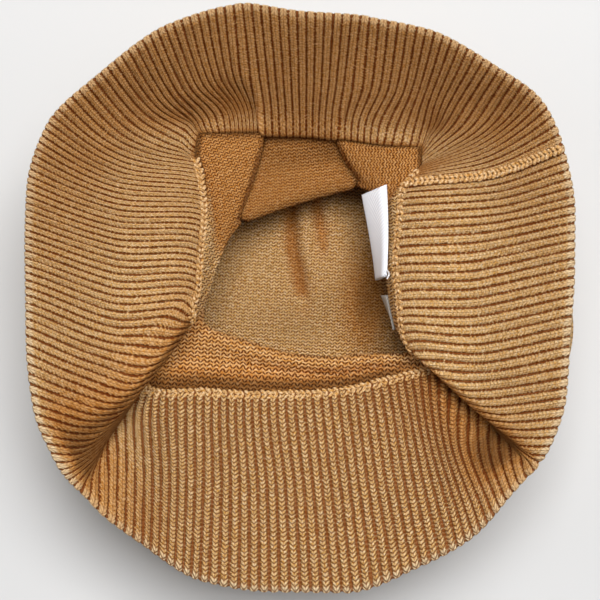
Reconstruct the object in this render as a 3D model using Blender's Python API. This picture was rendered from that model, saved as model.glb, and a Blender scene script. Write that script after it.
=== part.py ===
"""A soft knitted beret lying on its crown, its long ribbed band open towards +Z.

Metres, +Z up. The origin is the middle of the crown's resting face. +X runs towards the side with the
band's seam, +Y towards the side where the band stands steepest. Every piece is a plain closed solid, each
its own object in the collection knitted_beret.
"""

import math

import bpy
import numpy as np

# Driving dimensions, millimetres.
OPENING_WIDTH = 160.0
OPENING_LENGTH = 173.0
HEIGHT = 98.0
POUCH_RADIUS = 88.0
POUCH_HEIGHT = 30.0
FLOOR_RADIUS = 62.0
FOLD_RADIUS = 2.6
CLOTH = 2.0
PIECE_GAP = 0.5
JOIN_GAP = 1.0
LINK_WIDTH = 1.2
SEAM_WIDTH = 2.6
SEAM_HEIGHT = 1.6
CARE_LENGTH = 29.0
CARE_DROP = 12.0
SIZE_LENGTH = 11.0
SIZE_DROP = 11.0
SIZE_SLANT = 1.9
LABEL_THICKNESS = 1.1
THREAD_WIDTH = 0.9

# The sizes that the folds below were laid out at; the driving dimensions scale from them.
LAID_WIDTH = 160.0
LAID_LENGTH = 173.0
LAID_HEIGHT = 98.0
SCALE = np.array([OPENING_WIDTH / LAID_WIDTH, OPENING_LENGTH / LAID_LENGTH, HEIGHT / LAID_HEIGHT])

# One line for each fold line of the cloth, clockwise from the corner at -X +Y: its points on the rim, half
# way down the band, at the join with the crown and at the inner edge of the crown's first fold; then how
# much the crown bulges between the last two, and the angle in degrees at which the line crosses the pouch.
FOLD_LINES = [
    ((-57, 65, 93), (-45, 59, 67), (-31, 54, 47), (-23.4, 19.8, 38), 2, 42, 134),
    ((-38, 78, 96), (-31, 66, 71), (-21, 54, 47), (-22.2, 21.8, 37), 2, 43, 121),
    ((-22, 83, 97), (-18, 69, 72), (-13, 54, 47), (-20.6, 23.6, 36), 2, 50, 110),
    ((-15, 84, 97), (-13, 69, 71), (-11, 53, 46), (-17.4, 25.8, 31), -1, 57, 105),
    ((0, 82, 96), (0, 68, 70), (0, 53, 45), (-1, 32, 27), -2, 58, 90),
    ((17, 81, 95), (14, 67, 69), (11, 52, 46), (16.5, 37.3, 31), -1, 57, 75),
    ((22, 80, 95), (18, 66, 69), (13, 52, 47), (20, 36.5, 36.5), 1, 56, 70),
    ((37, 77, 94), (33, 64, 68), (26, 50, 48), (24, 35, 39), 1, 46, 57),
    ((56, 67, 92), (46, 59, 67), (38, 49, 49), (26, 34, 40), 2, 43, 43),
    ((70, 57, 89), (57, 50, 66), (38.5, 42.5, 49), (27, 32, 40), 2, 44, 31),
    ((77, 42, 86), (58, 36, 65), (32, 34, 50), (28, 30, 40), 2, 50, 20),
    ((80, 25, 84), (57, 23, 64), (31, 24, 50), (28, 22, 40), 2, 55, 8),
    ((80, 8, 83), (56, 8, 64), (30, 12, 50), (28, 11, 40), 2, 54, -4),
    ((79, -10, 82), (56, -7, 64), (31, 0, 51), (29, 1, 40), 2, 51, -16),
    ((78, -29, 80), (56, -21, 63), (32, -9, 52), (31, -8, 41), 1, 46, -27),
    ((74, -43, 77), (54, -30, 61), (34, -14, 52), (32.5, -11, 41), 0, 41, -35),
    ((72, -47, 76), (52, -31, 57), (35, -14.5, 51), (33.4, -12.4, 40.2), 0, 39, -38),
    ((71, -48, 75), (56, -34, 54.5), (41, -13.5, 48.5), (34.2, -13.8, 39.4), 0, 37, -42),
    ((70, -50, 75), (61, -39, 51.5), (47.5, -17.5, 45.2), (35, -15.2, 38.4), 0, 36, -46),
    ((68, -52, 74), (57, -42, 49.5), (45, -22, 42), (35.6, -16.6, 37.2), 0, 36, -51),
    ((63, -58, 72), (50, -45, 51), (40, -22.5, 43.5), (35.6, -18, 36), -2, 38, -56),
    ((52, -71, 69), (39, -50, 52), (27, -25, 45), (22, -18, 36), -4, 41, -67),
    ((35, -81, 66), (24, -56, 53), (14, -28, 45), (10, -19, 36), -5, 43, -78),
    ((14, -88.8, 63), (7, -59, 53), (0, -29, 45), (-2, -18, 36), -5, 43, -89),
    ((-9, -88.7, 62), (-12, -59, 53), (-16, -29, 45), (-13, -15, 36), -5, 43, -100),
    ((-30, -85, 64), (-30, -57, 52), (-31, -28, 45), (-23, -12, 36), -4, 41, -111),
    ((-48, -73, 68), (-45, -52, 51), (-42, -28.5, 44), (-29.5, -9.5, 36), -3, 38, -122),
    ((-59, -64, 72), (-55, -43, 49.5), (-47.5, -27.5, 42.5), (-31, -7.8, 37), 0, 36, -128),
    ((-64, -58, 75), (-60, -40, 52), (-52, -25, 46), (-31.5, -6, 38), 0, 36, -133),
    ((-68, -54, 76), (-54, -34, 55.5), (-46, -17.5, 49.5), (-31.3, -4.2, 39.2), 0, 37, -137),
    ((-71, -50, 77), (-50, -28, 58), (-33.5, -5.5, 52), (-31, -2.4, 40.3), 0, 39, -141),
    ((-74, -44, 78), (-52, -27, 62.5), (-34, -3.5, 55), (-30.6, -0.4, 41.3), 0, 41, -145),
    ((-78, -33, 80), (-57, -17, 64), (-32, 3, 53), (-29.6, 2.5, 42.2), 0, 46, -156),
    ((-80, -12, 82), (-58, 0, 65), (-31, 16, 52), (-28.2, 7.4, 41.5), 1, 51, -169),
    ((-80, 11, 84), (-57, 17, 65), (-30, 27, 51), (-26.8, 11.4, 40.5), 1, 54, -182),
    ((-79, 32, 87), (-57, 34, 65), (-31, 39, 50), (-25.5, 14.8, 39.6), 2, 53, -196),
    ((-73, 50, 90), (-54, 47, 66), (-33, 47, 49), (-24.5, 17.5, 39), 2, 48, -212),
]
SEAM_LINE = 10

# How far each row of points lies along the cloth from the rim, millimetres.
ROWS = [0, 30, 60, 67, 74, 78, 82, 92, 114, 140, 174, 204, 234]
JOIN = 60


def down_the_cloth(line):
    """All the points of one fold line, from the rim to the middle of the crown."""
    rim, middle, join, fold, bulge, plump, degrees = line
    rim, middle, join, fold = (np.array(point, float) for point in (rim, middle, join, fold))
    step = (join + fold) / 2 + np.array([0, 0, bulge])
    angle = math.radians(degrees)
    outward = np.array([math.cos(angle), math.sin(angle), 0])
    up = np.array([0, 0, 1.0])
    under = fold * [1, 1, 0] + 13 * outward + max(fold[2] - 9, 18) * up
    lid = outward * 68 + plump * up
    rest = CLOTH / 2 * up
    edge = outward * POUCH_RADIUS + POUCH_HEIGHT * up
    floor = [outward * radius + rest for radius in (FLOOR_RADIUS, FLOOR_RADIUS * 0.55, 3)]
    turn = 0.6 * FOLD_RADIUS * outward
    short = min(1, math.dist(join[:2], fold[:2]) / 12)
    over, beneath = fold + turn * short + FOLD_RADIUS * up, fold + turn - FOLD_RADIUS * up
    opening = [point * SCALE for point in (rim, middle, join, step, over, fold, beneath, under)]
    return np.array(opening + [lid * SCALE, edge] + floor)


def slopes(knots, values):
    """Slopes at the knots that never let the curve swing past its points."""
    shape = (-1,) + (1,) * (values.ndim - 1)
    width = np.diff(knots).reshape(shape)
    rise = np.diff(values, axis=0) / width
    before, after = rise[:-1], rise[1:]
    same_way = before * after > 0
    before = np.where(same_way, before, 1)
    after = np.where(same_way, after, 1)
    near, far = 2 * width[1:] + width[:-1], width[1:] + 2 * width[:-1]
    inner = np.where(same_way, (near + far) / (near / before + far / after), 0)
    return np.concatenate([rise[:1], inner, rise[-1:]])


def through(knots, values, places):
    """Points at the given places on the smooth curve through the values."""
    slope = slopes(knots, values)
    index = np.clip(np.searchsorted(knots, places, side="right") - 1, 0, len(knots) - 2)
    shape = (-1,) + (1,) * (values.ndim - 1)
    width = (knots[index + 1] - knots[index]).reshape(shape)
    part = (places - knots[index]).reshape(shape) / width
    a, b = values[index], values[index + 1]
    m, n = slope[index] * width, slope[index + 1] * width
    return (
        a * (1 + 2 * part) * (1 - part) ** 2
        + m * part * (1 - part) ** 2
        + b * part**2 * (3 - 2 * part)
        - n * part**2 * (1 - part)
    )


def cloth(lines, rows):
    """The cloth's middle surface at every fold-line place and row place, and its normals towards the inside."""
    points = np.array([down_the_cloth(line) for line in FOLD_LINES])
    count = len(points)
    padded = np.concatenate([points[-3:], points, points[:4]])
    knots = np.arange(-3.0, count + 4)
    around = through(knots, padded, lines).swapaxes(0, 1)
    above, surface, below = (
        through(np.array(ROWS, float), around, np.clip(rows + step, 0, ROWS[-1])).swapaxes(0, 1)
        for step in (-0.5, 0, 0.5)
    )
    along = np.roll(surface, -1, axis=0) - np.roll(surface, 1, axis=0)
    normal = np.cross(below - above, along)
    normal /= np.linalg.norm(normal, axis=2, keepdims=True)
    return surface, normal


def solid(name, points, faces, look):
    mesh = bpy.data.meshes.new(name)
    mesh.from_pydata([tuple(point) for point in np.asarray(points) * 0.001], [], faces)
    mesh.update()
    obj = bpy.data.objects.new(name, mesh)
    obj.data.materials.append(look)
    home.objects.link(obj)
    return obj


def ring_faces(around, rows, start, flip):
    """Quads of a grid that closes on itself, row by row, numbered from start."""
    faces = []
    for i in range(around):
        j = (i + 1) % around
        for k in range(rows - 1):
            quad = (
                start + i * rows + k,
                start + i * rows + k + 1,
                start + j * rows + k + 1,
                start + j * rows + k,
            )
            faces.append(quad[::-1] if flip else quad)
    return faces


def shell(name, rows, closed_end, look):
    """A wall of cloth between two rows, or from a row to the middle of the crown."""
    lines = np.arange(0, len(FOLD_LINES), 0.5)
    surface, normal = cloth(lines, np.array(rows, float))
    count, deep = surface.shape[:2]
    inner = (surface + normal * CLOTH / 2).reshape(-1, 3)
    outer = (surface - normal * CLOTH / 2).reshape(-1, 3)
    points = list(inner) + list(outer)
    half = len(inner)
    faces = ring_faces(count, deep, 0, False) + ring_faces(count, deep, half, True)
    for i in range(count):
        j = (i + 1) % count
        faces.append((i * deep, j * deep, half + j * deep, half + i * deep))
        if not closed_end:
            last = deep - 1
            faces.append((j * deep + last, i * deep + last, half + i * deep + last, half + j * deep + last))
    if closed_end:
        top, bottom = len(points), len(points) + 1
        points += [(0, 0, CLOTH), (0, 0, 0)]
        for i in range(count):
            j = (i + 1) % count
            faces.append((i * deep + deep - 1, top, j * deep + deep - 1))
            faces.append((half + j * deep + deep - 1, bottom, half + i * deep + deep - 1))
    return solid(name, points, faces, look)


def tube(name, path, across, up, width, height, closed, look, sides=8):
    """A bead of oval section along a path."""
    points = []
    for centre, side, rise in zip(path, across, up):
        for k in range(sides):
            turn = 2 * math.pi * k / sides
            points.append(centre + side * width / 2 * math.cos(turn) + rise * height / 2 * math.sin(turn))
    count = len(path)
    faces = []
    for i in range(count if closed else count - 1):
        j = (i + 1) % count
        for k in range(sides):
            m = (k + 1) % sides
            faces.append((i * sides + k, i * sides + m, j * sides + m, j * sides + k))
    if not closed:
        faces.append(tuple(reversed(range(sides))))
        faces.append(tuple(range((count - 1) * sides, count * sides)))
    return solid(name, points, faces, look)


def plate(name, sewn, free, thickness, look):
    """A thin closed plate between a sewn edge and a free edge, each a list of points."""
    sewn, free = np.array(sewn, float), np.array(free, float)
    run = np.gradient(sewn, axis=0)
    normal = np.cross(run, free - sewn)
    normal /= np.linalg.norm(normal, axis=1, keepdims=True)
    half = normal * thickness / 2
    rings = np.stack([sewn + half, free + half, free - half, sewn - half], axis=1)
    count = len(rings)
    faces = []
    for i in range(count - 1):
        for k in range(4):
            m = (k + 1) % 4
            faces.append((4 * i + k, 4 * i + 4 + k, 4 * i + 4 + m, 4 * i + m))
    faces.append((0, 1, 2, 3))
    faces.append(tuple(4 * (count - 1) + k for k in (3, 2, 1, 0)))
    return solid(name, rings.reshape(-1, 3), faces, look)


def look(name, colour, roughness):
    material = bpy.data.materials.new(name)
    material.use_nodes = True
    shader = material.node_tree.nodes["Principled BSDF"]
    shader.inputs["Base Color"].default_value = (*colour, 1)
    shader.inputs["Roughness"].default_value = roughness
    return material


for old in list(bpy.data.objects):
    bpy.data.objects.remove(old)
home = bpy.data.collections.new("knitted_beret")
bpy.context.scene.collection.children.link(home)

rib_knit = look("rib_knit", (0.45, 0.24, 0.09), 0.9)
jersey_knit = look("jersey_knit", (0.40, 0.21, 0.08), 0.9)
link_yarn = look("link_yarn", (0.50, 0.28, 0.11), 0.9)
seam_yarn = look("seam_yarn", (0.42, 0.22, 0.08), 0.9)
label_satin = look("label_satin", (0.80, 0.80, 0.80), 0.6)
size_satin = look("size_satin", (0.62, 0.62, 0.60), 0.6)
white_thread = look("white_thread", (0.85, 0.85, 0.85), 0.7)

# The band and the crown, with a small gap at the join.
shell("rib_band", [0, 12, 24, 36, 48, JOIN - JOIN_GAP / 2], False, rib_knit)
crown_rows = [JOIN + JOIN_GAP / 2, 63.5, 67, 71, 74, 76, 78, 80, 82, 87, 92, 103, 114, 127, 140, 150, 162, 174]
crown_rows += [204, 234]
shell("crown", crown_rows, True, jersey_knit)

# The row of linking stitches that joins them, on the inside of the join.
lines = np.arange(0, len(FOLD_LINES), 0.5)
surface, normal = cloth(lines, np.array([JOIN - 2.4]))
surface, normal = surface[:, 0], normal[:, 0]
path = surface + normal * (CLOTH / 2 + 1.8 * PIECE_GAP + LINK_WIDTH / 2)
run = np.roll(path, -1, axis=0) - np.roll(path, 1, axis=0)
run /= np.linalg.norm(run, axis=1, keepdims=True)
side = np.cross(normal, run)
side /= np.linalg.norm(side, axis=1, keepdims=True)
tube("linking_row", path, side, np.cross(run, side), LINK_WIDTH, LINK_WIDTH, True, link_yarn, 6)

# The seam allowance of the band, a puffy ridge on the inside from the rim to the join.
places = np.linspace(1.0, JOIN - 5.0, 14)
surface, normal = cloth(np.arange(0, len(FOLD_LINES), 0.1), places)
at = round((SEAM_LINE - 0.1) / 0.1)
path = surface[at] + normal[at] * (CLOTH / 2 + 2 * PIECE_GAP + SEAM_HEIGHT / 2)
run = np.gradient(path, axis=0)
run /= np.linalg.norm(run, axis=1, keepdims=True)
side = np.cross(normal[at], run)
side /= np.linalg.norm(side, axis=1, keepdims=True)
tube("band_seam", path, side, np.cross(run, side), SEAM_WIDTH, SEAM_HEIGHT, False, seam_yarn)

# The two labels, loops of satin whose one edge is sewn in beside the join; each hangs from that edge.
steps = np.linspace(0, 1, 6)[:, None]
sewn = np.array([27.0, 34.5, 49.0]) * SCALE + np.array([0.0, -CARE_LENGTH, 0.0]) * steps
lean = np.array([-0.63, 0.0, -0.77]) * (1 - steps) + np.array([-0.25, 0.0, -0.97]) * steps
lean /= np.linalg.norm(lean, axis=1, keepdims=True)
plate("care_label", sewn, sewn + lean * CARE_DROP, LABEL_THICKNESS, label_satin)

steps = np.linspace(0, 1, 4)[:, None]
sewn = np.array([27.7, 1.5, 38.0]) * SCALE + np.array([SIZE_SLANT, -SIZE_LENGTH, 0.0]) * steps
lean = np.array([-0.15, 0.0, -0.99]) * (1 - steps) + np.array([0.12, 0.0, -0.99]) * steps
lean /= np.linalg.norm(lean, axis=1, keepdims=True)
plate("size_label", sewn, sewn + lean * SIZE_DROP, LABEL_THICKNESS, size_satin)

# The loose end of the thread that holds the care label.
tail = np.array([[27.2, 9.0, 50.4], [27.7, 8.2, 51.2], [27.3, 7.4, 52.4]]) * SCALE
ones = np.ones((3, 1))
tube("label_thread", tail, ones * [1, 0, 0], ones * [0, 0.82, 0.57], THREAD_WIDTH, THREAD_WIDTH, False,
     white_thread, 6)
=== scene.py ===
"""A soft knitted beret lying on its crown, seen from straight above into its long ribbed band.

Metres, +Z up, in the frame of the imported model. The cloth is one sheet that runs from the rim of the band
down to the join, over the crown's inner fold and out to the pouch; the band and the crown are cut from it.
"""

import math

import bmesh
import bpy
import numpy as np
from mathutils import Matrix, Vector


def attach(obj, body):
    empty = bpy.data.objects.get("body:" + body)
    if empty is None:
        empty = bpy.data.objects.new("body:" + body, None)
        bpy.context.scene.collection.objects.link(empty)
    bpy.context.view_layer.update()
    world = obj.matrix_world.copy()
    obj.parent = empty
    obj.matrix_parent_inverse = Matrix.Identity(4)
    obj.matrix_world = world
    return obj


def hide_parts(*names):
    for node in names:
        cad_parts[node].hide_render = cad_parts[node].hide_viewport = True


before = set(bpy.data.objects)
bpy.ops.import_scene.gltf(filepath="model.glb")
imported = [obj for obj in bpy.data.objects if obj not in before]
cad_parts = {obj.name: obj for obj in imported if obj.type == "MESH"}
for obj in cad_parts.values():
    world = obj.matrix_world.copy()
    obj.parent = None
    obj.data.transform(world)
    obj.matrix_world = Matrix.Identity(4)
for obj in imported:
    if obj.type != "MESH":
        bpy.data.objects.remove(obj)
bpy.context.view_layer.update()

MM = 0.001
CLOTH = 2.0
POUCH_RADIUS = 88.0
POUCH_HEIGHT = 30.0
FLOOR_RADIUS = 62.0
FOLD_RADIUS = 2.6

# One line for each fold line of the cloth, clockwise from the corner at -X +Y: its points on the rim, half
# way down the band, at the join with the crown and at the inner edge of the crown's first fold; then how
# much the crown bulges between the last two, how high the hidden lid of the pouch stands, and the angle in
# degrees at which the line crosses the pouch.
FOLD_LINES = [
    ((-57, 65, 93), (-45, 59, 67), (-31, 54, 47), (-23.4, 19.8, 38), 2, 42, 134),
    ((-38, 78, 96), (-31, 66, 71), (-21, 54, 47), (-22.2, 21.8, 37), 2, 43, 121),
    ((-22, 83, 97), (-18, 69, 72), (-13, 54, 47), (-20.6, 23.6, 36), 2, 50, 110),
    ((-15, 84, 97), (-13, 69, 71), (-11, 53, 46), (-19.4, 25, 30.5), -4, 57, 105),
    ((0, 82, 96), (0, 68, 70), (0, 53, 45), (-1, 32, 27), -3, 58, 90),
    ((17, 81, 95), (14, 67, 69), (11, 52, 46), (18.6, 37, 31), -4, 57, 75),
    ((22, 80, 95), (18, 66, 69), (13, 52, 47), (20, 36.5, 36.5), 1, 56, 70),
    ((37, 77, 94), (33, 64, 68), (26, 50, 48), (24, 35, 39), 1, 46, 57),
    ((56, 67, 92), (46, 59, 67), (38, 49, 49), (26, 34, 40), 2, 43, 43),
    ((70, 57, 89), (57, 50, 66), (38.5, 42.5, 49), (27, 32, 40), 2, 44, 31),
    ((77, 42, 86), (58, 36, 65), (32, 34, 50), (28, 30, 40), 2, 50, 20),
    ((80, 25, 84), (57, 23, 64), (31, 24, 50), (28, 22, 40), 2, 55, 8),
    ((80, 8, 83), (56, 8, 64), (30, 12, 50), (28, 11, 40), 2, 54, -4),
    ((79, -10, 82), (56, -7, 64), (31, 0, 51), (29, 1, 40), 2, 51, -16),
    ((78, -29, 80), (56, -21, 63), (32, -9, 52), (31, -8, 41), 1, 46, -27),
    ((74, -43, 77), (54, -30, 61), (34, -14, 52), (32.5, -11, 41), 0, 41, -35),
    ((72, -47, 76), (52, -31, 57), (35, -14.5, 51), (33.4, -12.4, 40.2), 0, 39, -38),
    ((71, -48, 75), (56, -34, 54.5), (41, -13.5, 48.5), (34.2, -13.8, 39.4), 0, 37, -42),
    ((70, -50, 75), (61, -39, 51.5), (47.5, -17.5, 45.2), (35, -15.2, 38.4), 0, 36, -46),
    ((68, -52, 74), (57, -42, 49.5), (45, -22, 42), (35.6, -16.6, 37.2), 0, 36, -51),
    ((63, -58, 72), (50, -45, 51), (40, -22.5, 43.5), (35.6, -18, 36), -2, 38, -56),
    ((52, -71, 69), (39, -50, 52), (27, -25, 45), (22, -18, 36), -4, 41, -67),
    ((35, -81, 66), (24, -56, 53), (14, -28, 45), (10, -19, 36), -5, 43, -78),
    ((14, -88.8, 63), (7, -59, 53), (0, -29, 45), (-2, -18, 36), -5, 43, -89),
    ((-9, -88.7, 62), (-12, -59, 53), (-16, -29, 45), (-13, -15, 36), -5, 43, -100),
    ((-30, -85, 64), (-30, -57, 52), (-31, -28, 45), (-23, -12, 36), -4, 41, -111),
    ((-48, -73, 68), (-45, -52, 51), (-42, -28.5, 44), (-29.5, -9.5, 36), -3, 38, -122),
    ((-59, -64, 72), (-55, -43, 49.5), (-47.5, -27.5, 42.5), (-31, -7.8, 37), 0, 36, -128),
    ((-64, -58, 75), (-60, -40, 52), (-52, -25, 46), (-31.5, -6, 38), 0, 36, -133),
    ((-68, -54, 76), (-54, -34, 55.5), (-46, -17.5, 49.5), (-31.3, -4.2, 39.2), 0, 37, -137),
    ((-71, -50, 77), (-50, -28, 58), (-33.5, -5.5, 52), (-31, -2.4, 40.3), 0, 39, -141),
    ((-74, -44, 78), (-52, -27, 62.5), (-34, -3.5, 55), (-30.6, -0.4, 41.3), 0, 41, -145),
    ((-78, -33, 80), (-57, -17, 64), (-32, 3, 53), (-29.6, 2.5, 42.2), 0, 46, -156),
    ((-80, -12, 82), (-58, 0, 65), (-31, 16, 52), (-28.2, 7.4, 41.5), 1, 51, -169),
    ((-80, 11, 84), (-57, 17, 65), (-30, 27, 51), (-26.8, 11.4, 40.5), 1, 54, -182),
    ((-79, 32, 87), (-57, 34, 65), (-31, 39, 50), (-25.5, 14.8, 39.6), 2, 53, -196),
    ((-73, 50, 90), (-54, 47, 66), (-33, 47, 49), (-24.5, 17.5, 39), 2, 48, -212),
]

# The rib that meets each fold line at the rim and at the join, counted clockwise round the band.
RIBS = 200
RIBS_AT_RIM = [
    0, 9.2, 15.8, 18.5, 24.3, 30.9, 32.8, 38.4, 46.5, 53.1, 59.3, 66, 72.5, 78.8, 85.1, 89.9, 91.4, 91.9, 92.7,
    93.7, 96.3, 102.1, 108.6, 115.6, 122.9, 129.8, 137.1, 141.4, 143.5, 145.6, 148.1, 150.4, 154.2, 161.4,
    171.4, 182, 191.4,
]
RIBS_AT_JOIN = [
    5.1, 11.5, 18.2, 19, 24, 29.5, 30.4, 36.9, 42.5, 48.5, 59.3, 64, 68.4, 72.8, 76.3, 78.2, 78.6, 90, 99.5,
    101.4, 103.2, 108.2, 113.2, 118.4, 124.4, 130.3, 134.2, 137, 139, 152, 169, 170, 172.8, 179.2, 185,
    193.5, 200,
]

# How far each row of points lies along the cloth from the rim, millimetres.
ROWS = [0, 30, 60, 67, 74, 78, 82, 92, 114, 140, 174, 204, 234]
JOIN = 60
CROWN_WALES = 330
COURSE = 1.3
JERSEY_COURSE = 0.86
GRAIN_CELL = (1.8, 1.1)
# The steps between the fold-line places at which the cloth is read when something has to follow it closely.
FINE = 0.02
# The first row of the crown's floor, and the degrees by which the wales of the floor are turned.
FLOOR_ROW = 174
FLOOR_TURN = -3.0

# The crown's panels between its folds: fold-line places where each begins, and how far its wales are turned.
PANELS = [(0, 25, 0.88), (2.5, 6, 0.86), (5.5, 86, 0.88), (9.5, 4, 0.95), (16, -4, 1.16), (30, 25, 0.88)]


def down_the_cloth(line):
    """All the points of one fold line, from the rim to the middle of the crown."""
    rim, middle, join, fold, bulge, plump, degrees = line
    rim, middle, join, fold = (np.array(point, float) for point in (rim, middle, join, fold))
    step = (join + fold) / 2 + np.array([0, 0, bulge])
    angle = math.radians(degrees)
    outward = np.array([math.cos(angle), math.sin(angle), 0])
    up = np.array([0, 0, 1.0])
    under = fold * [1, 1, 0] + 13 * outward + max(fold[2] - 9, 18) * up
    lid = outward * 68 + plump * up
    edge = outward * POUCH_RADIUS + POUCH_HEIGHT * up
    floor = [outward * radius + CLOTH / 2 * up for radius in (FLOOR_RADIUS, FLOOR_RADIUS * 0.55, 3)]
    turn = 0.6 * FOLD_RADIUS * outward
    short = min(1, math.dist(join[:2], fold[:2]) / 12)
    over, beneath = fold + turn * short + FOLD_RADIUS * up, fold + turn - FOLD_RADIUS * up
    return np.array([rim, middle, join, step, over, fold, beneath, under, lid, edge] + floor)


def slopes(knots, values):
    """Slopes at the knots that never let the curve swing past its points."""
    shape = (-1,) + (1,) * (values.ndim - 1)
    width = np.diff(knots).reshape(shape)
    rise = np.diff(values, axis=0) / width
    before, after = rise[:-1], rise[1:]
    same_way = before * after > 0
    before = np.where(same_way, before, 1)
    after = np.where(same_way, after, 1)
    near, far = 2 * width[1:] + width[:-1], width[1:] + 2 * width[:-1]
    inner = np.where(same_way, (near + far) / (near / before + far / after), 0)
    return np.concatenate([rise[:1], inner, rise[-1:]])


def through(knots, values, places):
    """Points at the given places on the smooth curve through the values."""
    slope = slopes(knots, values)
    index = np.clip(np.searchsorted(knots, places, side="right") - 1, 0, len(knots) - 2)
    shape = (-1,) + (1,) * (values.ndim - 1)
    width = (knots[index + 1] - knots[index]).reshape(shape)
    part = (places - knots[index]).reshape(shape) / width
    a, b = values[index], values[index + 1]
    m, n = slope[index] * width, slope[index + 1] * width
    return (
        a * (1 + 2 * part) * (1 - part) ** 2
        + m * part * (1 - part) ** 2
        + b * part**2 * (3 - 2 * part)
        - n * part**2 * (1 - part)
    )


def cloth(lines, rows):
    """The cloth's middle surface at every fold-line place and row place, and its normals towards the inside."""
    points = np.array([down_the_cloth(line) for line in FOLD_LINES])
    count = len(points)
    padded = np.concatenate([points[-3:], points, points[:4]])
    knots = np.arange(-3.0, count + 4)
    around = through(knots, padded, lines).swapaxes(0, 1)
    above, surface, below = (
        through(np.array(ROWS, float), around, np.clip(rows + step, 0, ROWS[-1])).swapaxes(0, 1)
        for step in (-0.5, 0, 0.5)
    )
    along = np.roll(surface, -1, axis=0) - np.roll(surface, 1, axis=0)
    normal = np.cross(below - above, along)
    normal /= np.linalg.norm(normal, axis=2, keepdims=True)
    return surface, normal


def rib_at(lines, row):
    """The rib number at fold-line places on one row of the band."""
    knots = np.arange(-3.0, len(FOLD_LINES) + 4)
    share = min(1, row / JOIN)
    marks = []
    for ribs in (RIBS_AT_RIM, RIBS_AT_JOIN):
        ribs = np.array(ribs, float)
        marks.append(np.concatenate([ribs[-3:] - RIBS, ribs, ribs[:4] + RIBS]))
    rim, join = (through(knots, mark, lines) for mark in marks)
    return rim * (1 - share) + join * share


def smooth(low, high, value):
    """0 at low, 1 at high and a soft step between them; low may be the larger."""
    part = np.clip((value - low) / (high - low), 0, 1)
    return part * part * (3 - 2 * part)


def along_ribs(ribs, rows):
    """Surface points and normals where each rib number crosses each row, so that mesh columns follow ribs."""
    fine = np.arange(0, len(FOLD_LINES), FINE)
    surface, normal = cloth(fine, rows)
    points = np.empty((len(ribs), len(rows), 3))
    normals = np.empty_like(points)
    for k, row in enumerate(rows):
        marks = rib_at(fine, row)
        for source, target in ((surface, points), (normal, normals)):
            for axis in range(3):
                target[:, k, axis] = np.interp(ribs, marks, source[:, k, axis], period=RIBS)
    normals /= np.linalg.norm(normals, axis=2, keepdims=True)
    return points, normals


def put(name, data):
    """A new object in the scene, at the origin."""
    obj = bpy.data.objects.new(name, data)
    bpy.context.scene.collection.objects.link(obj)
    return obj


def settled(guide, name):
    """The finished mesh of a guide object as an object of its own; the guide goes."""
    made = bpy.data.meshes.new_from_object(guide.evaluated_get(bpy.context.evaluated_depsgraph_get()))
    made.name = name
    bpy.data.objects.remove(guide)
    return put(name, made)


def sheet_mesh(name, points, quads, corners_uv, finishes, finish_of=None, depth=None):
    """A mesh piece from points in millimetres, its quads, the knitting coordinates at their corners and how
    much painted shade each point gets: 1 as down in a fold, 2 as in the bottom of a crease."""
    mesh = bpy.data.meshes.new(name)
    mesh.vertices.add(len(points))
    mesh.vertices.foreach_set("co", (np.asarray(points) * MM).astype(np.float32).ravel())
    mesh.loops.add(quads.size)
    mesh.loops.foreach_set("vertex_index", quads.astype(np.int32).ravel())
    mesh.polygons.add(len(quads))
    mesh.polygons.foreach_set("loop_start", np.arange(0, quads.size, 4, dtype=np.int32))
    mesh.polygons.foreach_set("use_smooth", np.ones(len(quads), bool))
    for finish in finishes:
        mesh.materials.append(finish)
    if finish_of is not None:
        mesh.polygons.foreach_set("material_index", finish_of.astype(np.int32))
    if depth is not None:
        marks = mesh.attributes.new("painted_fold_shade", "FLOAT", "POINT")
        marks.data.foreach_set("value", depth.astype(np.float32).ravel())
    knitting = mesh.uv_layers.new(name="knitting")
    knitting.data.foreach_set("uv", corners_uv.astype(np.float32).ravel())
    mesh.update(calc_edges=True)
    mesh.validate()
    return put(name, mesh)


def grid_quads(around, deep, start, flip):
    """Quads of a grid that closes on itself, and the grid places of their corners."""
    i, k = np.meshgrid(np.arange(around), np.arange(deep - 1), indexing="ij")
    i, k = i.ravel(), k.ravel()
    corners = [(i, k), (i, k + 1), (i + 1, k + 1), (i + 1, k)]
    if flip:
        corners = corners[::-1]
    quads = np.stack([start + (a % around) * deep + b for a, b in corners], axis=1)
    return quads, np.stack([np.stack([a, b], axis=1) for a, b in corners], axis=1)


def edge_quads(around, deep, row, start_in, start_out, flip):
    """The strip of quads that closes the cut edge between the two faces of a sheet."""
    i = np.arange(around)
    j = (i + 1) % around
    strip = [start_in + i * deep[0] + row[0], start_in + j * deep[0] + row[0],
             start_out + j * deep[1] + row[1], start_out + i * deep[1] + row[1]]
    return np.stack(strip[::-1] if flip else strip, axis=1)


def edge_uv(wales, high):
    """Knitting coordinates of the strip along a cut edge, from the wale at each of its ends."""
    count = len(wales) - 1
    corners = [(wales[:-1], 0.0), (wales[1:], 0.0), (wales[1:], high), (wales[:-1], high)]
    return np.stack([np.stack([wale, np.full(count, course)], axis=1) for wale, course in corners], axis=1)


# ---- Materials -------------------------------------------------------------------------------------------

PALE_FIBRE, TAN_FIBRE, DARK_FIBRE, GOLD_FIBRE = "#FFE8C0", "#EABD7C", "#A8702E", "#E2A445"
RIM_FIBRE, SHEEN_TINT = "#F2DDB8", "#E0A868"
# Painted shade: GAP_SHADE between the stitches, DEEP_SHADE in folds and on steep slopes, CREASE_SHADE in the
# bottoms of creases.
GAP_SHADE, DEEP_SHADE, CREASE_SHADE = "#8A5016", "#E4C6A3", "#6A5542"
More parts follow.
